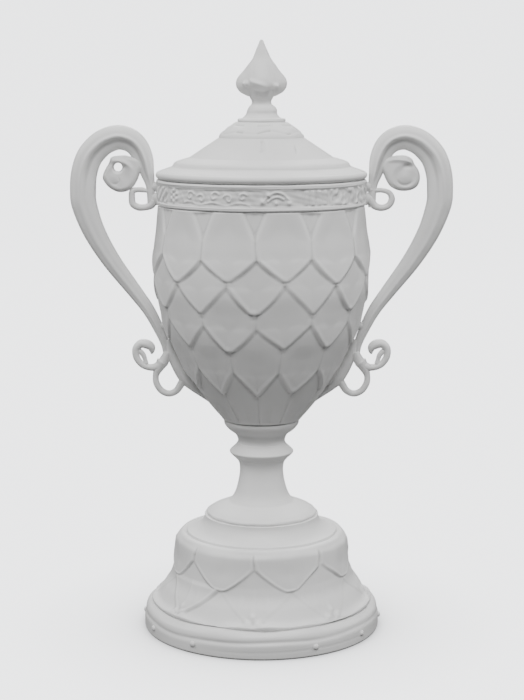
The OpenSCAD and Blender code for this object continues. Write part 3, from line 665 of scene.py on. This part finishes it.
base_line = soften(np.vstack([
    outline("finial_base", [(-14.7, 15.5), (-14.7, 0), (-0.6, 0), (-0.2, 1.2), (-0.9, 2.5)]),
    outline("finial_base", smooth([(-3.4, 3.0), (-5.4, 4.2), (-6.6, 6.0), (-7.0, 8.2), (-8.2, 10.4),
                                   (-10.2, 12.2), (-10.6, 13.9), (-10.2, 15.5)], 6)),
    outline("finial_base", [(-14.7, 15.5)])]), 0.3)[:-1]
turned("finial_foot", walk(base_line, 0.6), 160, "lid", ["finial_base"], base_relief, wander=0.1, seed=13)

bud_foot = box_of("finial_bud")[1]


def bud_relief(a, z):
    """Folded petals: round swellings at the two sides, with lower ones between them, small knobs, a
    slanting fold across the front and the back, and a soft flame above."""
    h = z - bud_foot
    quarter, k = wrapped(a, math.radians(90), math.radians(90))
    swell = np.interp(h, [0, 1.4, 2.5, 4.7, 6.1, 9.2, 11.5, 13.7, 16, 18.2, 20.5, 24, 28.6, 34],
                      [0, -1.0, 0.3, 1.7, 2.7, 3.9, 4.1, 3.6, 2.6, 1.5, 0.8, 0.3, -0.4, -0.4])
    petal = swell * np.where(np.mod(k, 2) == 0, bump(quarter, 0, 0.5), 0.55 * bump(quarter, 0, 0.45))
    twice = np.mod(a + math.pi / 2, math.pi) - math.pi / 2
    knob = (2.8 * bump(twice, -0.84, 0.15) * bump(h, 11.0, 1.6)
            + 3.1 * bump(twice, 0.76, 0.14) * bump(h, 9.6, 1.5))
    fold = (1.7 * bump(h - 11.2 + 4.4 * (twice + 0.2), 0, 1.5) * ramp(twice, -0.75, -0.4)
            * ramp(-twice, -0.5, 0.1))
    under = -2.6 * bump(h - 5.0 + 0.4 * np.cos(4 * a), 0, 3.0) * (0.5 + 0.5 * np.cos(2 * twice))
    flame = 0.35 * np.cos(4 * a + h / 8) * bump(h, 24, 8) + 0.3 * np.sin(a - 0.9) * bump(h, 27, 6)
    crease = (-0.5 * bump(twice, 0.42 + 0.004 * h, 0.09) * bump(h, 17, 5)
              - 0.4 * bump(twice, -0.3 - 0.01 * h, 0.08) * bump(h, 18, 4))
    rib = 0.3 * np.cos(10 * a) * bump(h, 4, 2.5)
    return (petal + knob + fold + under + flame + crease + rib) * ramp(h, 0.3, 2.2) * ramp(41 - h, 0, 3)


bud_line = np.vstack([
    outline("finial_bud", [(-14.4, 0), (-7.2, 0)]),
    outline("finial_bud", smooth([(-6.2, 1.0), (-2.2, 5.6), (-0.6, 11), (-1.7, 17.2), (-4.3, 23.2),
                                  (-8.0, 29.4), (-10.6, 35.2), (-12.6, 39.6), (-13.7, 41.0)], 10)),
    outline("finial_bud", [(-14.4, 41.4)])])
turned("finial_bud_cast", walk(bud_line, 0.5), 240, "lid", ["finial_bud", "finial_lobes"], bud_relief,
       wander=0.06, seed=14)


# ---- Handles ----
# Two cast S-scrolls, soldered to the rim band and to the bowl. A broad rounded band runs along the outside
# of each bar, then a raised ridge, then a hollowed band on the inside; low down the hollow thins out to
# shallow flutes.
rim_top = box_of("bowl")[2]
band_middle = (box_of("rim_band")[1] + box_of("rim_band")[2]) / 2
reach_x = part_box("right_handle")[1].x * 1000
root_x = box_of("lid_rim_wire")[0] + 0.6
arch_x = reach_x - 9.3
foot_x, foot_z = 67.4, bowl_foot + 46.55  # where the leg meets the bowl
bar_width = 18.4
bar_depth = 0.8  # share of the width


def bowl_x(z):
    """Radius of the bowl at a height."""
    return np.interp(z, bowl_out[:, 1] + bowl_foot, bowl_out[:, 0] + box_of("bowl")[0])


def arch(out, up, wide):
    """Station over the rim: shares of the way out, of the rise and of the bar's width."""
    return root_x + out * (arch_x - root_x), rim_top + up * 28.9, wide * bar_width


def leg(out, up, wide):
    """Station on the way down to the handle's foot."""
    return foot_x + out * (arch_x - foot_x), foot_z + up * (rim_top - 8 - foot_z), wide * bar_width


def near(off, up, wide):
    """Station that follows the bowl at a distance."""
    z = foot_z + up * (rim_top - 8 - foot_z)
    return float(bowl_x(z)) + off, z, wide * bar_width


def tube(stations, steps, columns, depth, section=None):
    """Bar along a line of (x, z, width) stations in the plane y = 0. With N the normal in that plane, on
    the right of the way it runs, and Y across it, point (i, p) is C + N w/2 cos p + Y depth w/2 sin p,
    times section(p, i)."""
    line = smooth(stations, steps)
    way = np.gradient(line[:, :2], axis=0)
    way /= np.linalg.norm(way, axis=1, keepdims=True)
    p = np.linspace(0, 2 * math.pi, columns, endpoint=False)[None, :]
    share = np.linspace(0, 1, len(line))[:, None]
    side, front = np.cos(p) + 0 * share, np.sin(p) + 0 * share
    if section is not None:
        side, front = section(side, front, share)
    half = line[:, 2:3] / 2
    return np.stack([line[:, :1] + way[:, 1:2] * half * side,
                     half * depth * front,
                     line[:, 1:2] - way[:, :1] * half * side], -1)


def mirrored(grid):
    """The same grid on the other side of the cup, with its columns turned round so that its faces still
    point out."""
    return (grid * (-1, 1, 1))[:, ::-1]


def handle_section(side, front, share):
    """Section of the bar, on both faces: a broad band outside, a ridge a little outside the middle, and a
    hollowed band from the ridge to the inner edge. Down the leg the hollow gives way to three shallow
    flutes."""
    out = -side
    arched = ramp(share, 0.06, 0.16) * (1 - 0.85 * ramp(share, 0.5, 0.64))
    low = ramp(share, 0.48, 0.62)
    ridge = 0.1 * bump(out, 0.14, 0.15)
    hollow = 0.42 * np.abs(front) * ramp(-out, -0.1, 0.34)
    valley = 0.03 * bump(out, 0.42, 0.14)
    flutes = 0.035 * bump(out, -0.15, 0.2) - 0.035 * bump(out, 0.2, 0.17) + 0.03 * bump(out, 0.5, 0.15)
    face = np.abs(front) + arched * (ridge - hollow - valley) - low * flutes
    return side, np.sign(front) * np.maximum(face, 0.04 * (np.abs(front) > 1e-6))


handle_stations = [
    (root_x + 2.8, band_middle - 11, 5.2), (root_x + 2.9, band_middle - 2, 5.6),
    (root_x + 3.4, rim_top - 4, 6.6),
    arch(0.10, 0.12, 0.52), arch(0.15, 0.46, 0.74), arch(0.23, 0.76, 0.84), arch(0.345, 0.935, 0.9),
    arch(0.50, 1, 0.94), arch(0.65, 0.93, 0.97), arch(0.775, 0.79, 0.99), arch(0.905, 0.52, 1),
    arch(0.98, 0.14, 1), leg(1, 1, 1), leg(0.985, 0.91, 0.97), leg(0.872, 0.757, 0.85),
    leg(0.67, 0.588, 0.71), leg(0.37, 0.393, 0.55), near(7.7, 0.293, 0.48), near(4.8, 0.189, 0.41),
    near(4.7, 0.085, 0.32), near(8.4, 0, 0.27)]
bar = tube(handle_stations, 16, 64, bar_depth, handle_section)
bar = bar + 0.1 * uneven(bar, 9, 21)[..., None] * (0, 1, 0)
for side_name, grid in (("right", bar), ("left", mirrored(bar))):
    skin(f"{side_name}_handle_bar", grid, False, "root", [f"{side_name}_handle"])


# ---- Volutes ----
# A snail scroll on the inside of each arch: a lip curls off the bar over the top, with a hollow under it,
# and a domed boss sits in a crescent furrow below. The left one has an open eye under its lip.
volute_x, volute_z = root_x + 24.5, rim_top + 3


def volute(name, rim, eye, open_eye, replaced, flip):
    """Closed surface round an eye at E: point (t, k) lies on the ray from E to station k of the rim, at
    share t of the way, and stands off the middle plane by height(p, q). A shut eye is a point, and an open
    one is a short bore of radius open_eye."""
    edge = smooth(rim + rim[:1], 10)[:-1]
    way = edge - eye
    far = np.linalg.norm(way, axis=1, keepdims=True)
    t0 = open_eye / far if open_eye else 0.02 + 0 * far
    t = t0 + (1 - t0) * np.sin(np.linspace(0, math.pi / 2, 34))[None, :]
    p, q = eye[0] + way[:, :1] * t, eye[1] + way[:, 1:] * t
    inside = far * (1 - t)
    round_off = np.sqrt(np.clip(1 - (1 - np.minimum(inside / 3.6, 1))**2, 0, 1))
    r = np.hypot(p - 1.0, q + 1.6)
    angle = np.arctan2(q + 1.6, p - 1.0)
    if open_eye:
        boss = 1.0 * bump(np.hypot(p - 4.6, q + 1.8), 0, 4.2) + 0.4 * bump(np.hypot(p + 1, q + 5), 0, 4)
        furrow = -0.35 * bump(np.hypot(p - 3.4, q + 3.0), 3.4, 0.8) * ramp(np.sin(-angle), 0.5, 0.95)
        lip = 1.7 * bump(q - 10.6 + 0.035 * (p - 4)**2 * (p < 4), 0, 2.3) * ramp(p, -12, -3)
        shade = -0.8 * bump(np.hypot(p + 3.0, (q - 5.6) * 1.2), 0, 2.6)
    else:
        boss = 1.3 * bump(r, 0, 4.6)
        furrow = -0.75 * bump(r, 5.5, 0.9) * ramp(np.sin(-angle - 0.1), 0.2, 0.95)
        lip = 1.8 * bump(inside, 3.0, 2.5) * ramp(q + 0.3 * p, 4.5, 11)
        shade = -2.2 * bump(np.hypot((p - 3.8) / 1.7, (q - 6.6 + 0.08 * (p - 3)**2) / 1.0), 0, 1.9)
    coil = 0.7 * bump(r, 9.2, 2.8)
    height = (4.0 + boss + furrow + coil + lip + shade) * round_off
    if open_eye:
        height = height * np.sqrt(np.clip(1 - (1 - np.minimum((t - t0) * far / 1.6, 1))**2, 0.0, 1))

    def folded(near_face, far_face):
        """One face from the eye to the rim, and the other face back again; an open eye's bore closes the
        loop."""
        return np.hstack([near_face, far_face[:, -2:0:-1] if open_eye else far_face[:, -2::-1]])

    grid = np.stack([volute_x + folded(p, p), folded(-height, height), volute_z + folded(q, q)], -1)
    grid = grid.transpose(1, 0, 2)
    grid = grid + 0.12 * uneven(grid, 6, 31)[..., None] * (0, 1, 0)
    skin(name, mirrored(grid) if flip else grid, bool(open_eye), "root", replaced)


volute("right_volute_scroll",
       [(-9, 12.6), (-4, 13.4), (1.5, 13.3), (6, 11.0), (7.9, 7.4), (10.6, 3.4), (11.9, -1.2), (11.2, -6.1),
        (8.4, -9.6), (3, -11.4), (-3.4, -11.1), (-8.5, -8.6), (-11.2, -5.2), (-13.2, -1.0), (-15.5, 5),
        (-14, 10)],
       np.array([0.6, 1.4]), 0, ["right_volute"], False)
volute("left_volute_scroll",
       [(-9, 12.2), (-4, 13.4), (1.0, 13.2), (4.6, 12.7), (6.4, 11.4), (7.6, 8.2), (9.8, 4.4), (11.6, 0.6),
        (11.9, -3.4), (8.0, -8.8), (1.6, -12.2), (-5.0, -11.6), (-9.6, -8.2), (-12.4, -3.6), (-13.6, -0.4),
        (-15.5, 5), (-14, 10)],
       np.array([1.2, 5.2]), 2.9, ["left_volute"], True)

# ---- Rings, curls, loops and straps ----
# Small cast scrolls at the two ends of each handle: a ring beside the rim band with two lumps of solder,
# and at the foot a curl round a small core, a teardrop loop and a strap that lies on the bowl over a solder
# pad.
tail = 4.6  # thickness of the scrolls, mm


def station(x0, z0, points):
    """Stations from offsets to a corner and widths as shares of the tail's thickness."""
    return [(x0 + x, z0 + z, w * tail) for x, z, w in points]


def both(name, grid, node):
    """The same piece on the right and, mirrored, on the left."""
    grid = grid + 0.08 * uneven(grid, 5, 41)[..., None] * (0, 1, 0)
    skin(f"right_{name}", grid, False, "root", [f"right_{node}"])
    skin(f"left_{name}", mirrored(grid), False, "root", [f"left_{node}"])


ring_right = tube(station(root_x, band_middle, [
    (0.6, -4.4, 1.3), (2.6, -7.4, 1.25), (5.2, -10.2, 1.12), (9.8, -11.4, 1), (14.6, -9.6, 1),
    (16.8, -5.2, 1), (14.8, -0.8, 0.82), (9.8, 0.9, 0.74), (5, 0.9, 0.8), (1.4, 1.6, 1.1)]), 10, 28, 1.1)
skin("right_ring_tube", ring_right, False, "root", ["right_ring", "right_band_pad"])
ring_left = tube(station(root_x, band_middle, [
    (0.6, -6.4, 1.3), (3.0, -9.6, 1.15), (7.0, -11.0, 1.0), (11.8, -11.0, 1.05), (15.6, -8.6, 1.05),
    (16.3, -4.4, 1.0), (15.8, 0.2, 0.95), (12.6, 1.3, 0.8), (8.6, 1.2, 0.8), (6.0, 0.6, 0.6),
    (3, 0.6, 0.7)]), 10, 28, 1.1)
skin("left_ring_tube", mirrored(ring_left), False, "root", ["left_ring", "left_band_pad"])

for side_name, sign in (("right", 1), ("left", -1)):
    for label, level, size in (("upper", 3.4, 7.4), ("lower", -5.0, 9.0)):
        lump = tube([(root_x - 3.2 + 1.3 * i, band_middle + level, w * size)
                     for i, w in enumerate((0.9, 1.0, 0.98, 0.86, 0.66, 0.4))], 6, 28, 0.9)
        skin(f"{side_name}_{label}_band_lump", lump if sign > 0 else mirrored(lump), False, "root",
             [f"{side_name}_band_pad"])

both("curl_tube", tube(station(foot_x, foot_z, [
    (-0.6, 5.0, 1.35), (1.0, 1.2, 1.5), (4.4, -3.8, 1.6), (10.6, -6.2, 1.1), (17.6, -4.4, 1.0),
    (21.9, 1.0, 1.06), (22.3, 7.2, 1.16), (18.9, 10.9, 1.34), (14.6, 10.7, 1.46), (11.6, 8.7, 1.3),
    (10.9, 5.9, 0.85), (11.3, 3.6, 0.25)]), 12, 28, 1.1), "curl")
blob = tube(station(foot_x, foot_z, [(15.4, -3.4, 0.9), (15.9, -0.6, 0.7), (17.0, 2.6, 0.8), (18.8, 5.0, 0.8),
                                     (20.4, 6.8, 0.6)]), 8, 28, 0.9)
for side_name, grid in (("right", blob), ("left", mirrored(blob))):
    skin(f"{side_name}_curl_core", grid, False, "root", [f"{side_name}_curl"])
both("teardrop_loop", tube(station(foot_x, foot_z, [
    (3.4, -2.0, 1.9), (6.4, -7.0, 1.4), (8.3, -12.0, 0.98), (7.9, -17.6, 1.0), (4.4, -23.0, 1.0),
    (-1, -25.2, 1.0), (-6.2, -23.2, 1.05), (-9.6, -18.4, 1.2),
    (-11.6, -15.4, 1.4)]), 10, 28, 1.05), "loop")
both("bowl_strap", tube([(foot_x + x, foot_z + z, w) for x, z, w in (
    (-0.8, 14, 4.6), (-3.0, 4.4, 7.2), (-7.9, -6, 8.6), (-12.9, -14, 9.0), (-18.2, -20, 6.6),
    (-24.8, -26, 3.8), (-31, -31, 2.4))], 10, 28, 0.95), "strap")
for side_name, sign in (("right", 1), ("left", -1)):
    z = foot_z + 0.2 * (rim_top - 8 - foot_z)
    pad = tube([(float(bowl_x(z)) - 2 + 1.5 * i, z, w)
                for i, w in enumerate((6.4, 6.2, 5.8, 5.0, 3.6))], 6, 28, 1.0)
    skin(f"{side_name}_solder_pad", pad if sign > 0 else mirrored(pad), False, "root",
         [f"{side_name}_bowl_pad"])

# ---- Rod, nuts and washers ----
# Plain steel fixings: a rod through the whole stem, and a short stud for the finial, each with a washer and
# a nut. The steel is drawn or pressed, so fine marks run round and along it.
steel, tree, shader, add = material("drawn_steel", 0.35)
shader.inputs["Metallic"].default_value = 1.0
place = add("ShaderNodeTexCoord")
stretch = add("ShaderNodeMapping", {"Vector": place.outputs["Object"], "Scale": (1.0, 1.0, 0.08)})
marks = add("ShaderNodeTexNoise", {"Vector": stretch.outputs["Vector"], "Scale": 1600.0, "Detail": 3.0})
tone = add("ShaderNodeValToRGB", {"Fac": marks.outputs["Fac"]})
colours(tone, (0.3, (0.46, 0.46, 0.45)), (0.7, (0.68, 0.68, 0.67)))
gloss = add("ShaderNodeMapRange", {"Value": marks.outputs["Fac"], "To Min": 0.28, "To Max": 0.5})
scratch = add("ShaderNodeBump", {"Height": marks.outputs["Fac"], "Strength": 0.2, "Distance": 0.0001})
tree.links.new(tone.outputs["Color"], shader.inputs["Base Color"])
tree.links.new(gloss.outputs["Result"], shader.inputs["Roughness"])
tree.links.new(scratch.outputs["Normal"], shader.inputs["Normal"])
for node in ("tie_rod", "bowl_washer", "bowl_nut", "base_washer", "base_nut", "finial_stud", "lid_washer",
             "lid_nut"):
    paint(node, steel)

# ---- Floor and light ----
# A plain pale studio floor that rises into a plain wall all round. Four large soft lights hang high up: the
# strongest in front, a weaker one on each side and one behind. The paper glows only to the eye, so that it
# throws no light up at the cup, and a painted shadow from ambient occlusion darkens it where the foot stands.
sweep_line = np.vstack([[(0.02, 0)], [(1, 0)],
                        smooth([(3.0, 0), (3.6, 0.06), (4.1, 0.3), (4.45, 0.8), (4.6, 1.6)], 10),
                        [(4.65, 5)]])
sides = 96
turn = np.linspace(0, 2 * math.pi, sides, endpoint=False)[None, :]
sweep_grid = np.stack([sweep_line[:, :1] * np.cos(turn), sweep_line[:, :1] * np.sin(turn),
                       sweep_line[:, 1:] + 0 * turn], -1)
number = np.arange(sweep_grid.shape[0] * sides).reshape(-1, sides)
faces = np.stack([number[:-1], number[1:], np.roll(number[1:], -1, 1), np.roll(number[:-1], -1, 1)],
                 -1).reshape(-1, 4).tolist() + [number[0].tolist()]
floor_mesh = bpy.data.meshes.new("studio_floor")
floor_mesh.from_pydata(sweep_grid.reshape(-1, 3).tolist(), [], faces)
floor_mesh.polygons.foreach_set("use_smooth", np.ones(len(faces), bool))
floor_mesh.update()
paper, tree, shader, add = material("pale_paper", 0.9)
shader.inputs["Base Color"].default_value = (0.1, 0.1, 0.1, 1)
shader.inputs["Specular IOR Level"].default_value = 0.1
seen = add("ShaderNodeLightPath")
# Painted shadow: ambient occlusion dims the paper's glow round the foot.
painted_shadow_occlusion = add("ShaderNodeAmbientOcclusion", {"Distance": 0.12}, samples=8)
shadow = add("ShaderNodeMath", {0: painted_shadow_occlusion.outputs["AO"], 1: 1.6}, operation="POWER")
glow = add("ShaderNodeMath", {0: shadow.outputs["Value"], 1: 3.4}, operation="MULTIPLY")
glow = add("ShaderNodeMath", {0: seen.outputs["Is Camera Ray"], 1: glow.outputs["Value"]},
           operation="MULTIPLY")
shader.inputs["Emission Color"].default_value = (0.93, 0.94, 0.96, 1)
tree.links.new(glow.outputs["Value"], shader.inputs["Emission Strength"])
floor_mesh.materials.append(paper)
studio_floor = bpy.data.objects.new("studio_floor", floor_mesh)
bpy.context.scene.collection.objects.link(studio_floor)

aim = (0, 0, 0.2)
for name, place, wide, power in (
        ("front_light", (0, -1.9, 2.35), 1.9, 92),
        ("left_light", (-2.1, -0.1, 1.9), 1.6, 48),
        ("right_light", (2.1, -0.1, 1.9), 1.6, 48),
        ("back_light", (0, 2.1, 2.2), 1.8, 60)):
    lamp = bpy.data.lights.new(name, "AREA")
    lamp.shape = "RECTANGLE"
    lamp.size, lamp.size_y, lamp.energy = wide, 1.5, power
    light = bpy.data.objects.new(name, lamp)
    light.location = place
    way = np.array(aim) - np.array(place)
    light.rotation_euler = (math.acos(-way[2] / np.linalg.norm(way)), 0, math.atan2(-way[0], way[1]))
    bpy.context.scene.collection.objects.link(light)
world = bpy.data.worlds.new("studio_air")
world.use_nodes = True
world.node_tree.nodes["Background"].inputs["Color"].default_value = (0.75, 0.75, 0.76, 1)
world.node_tree.nodes["Background"].inputs["Strength"].default_value = 0.06
bpy.context.scene.world = world
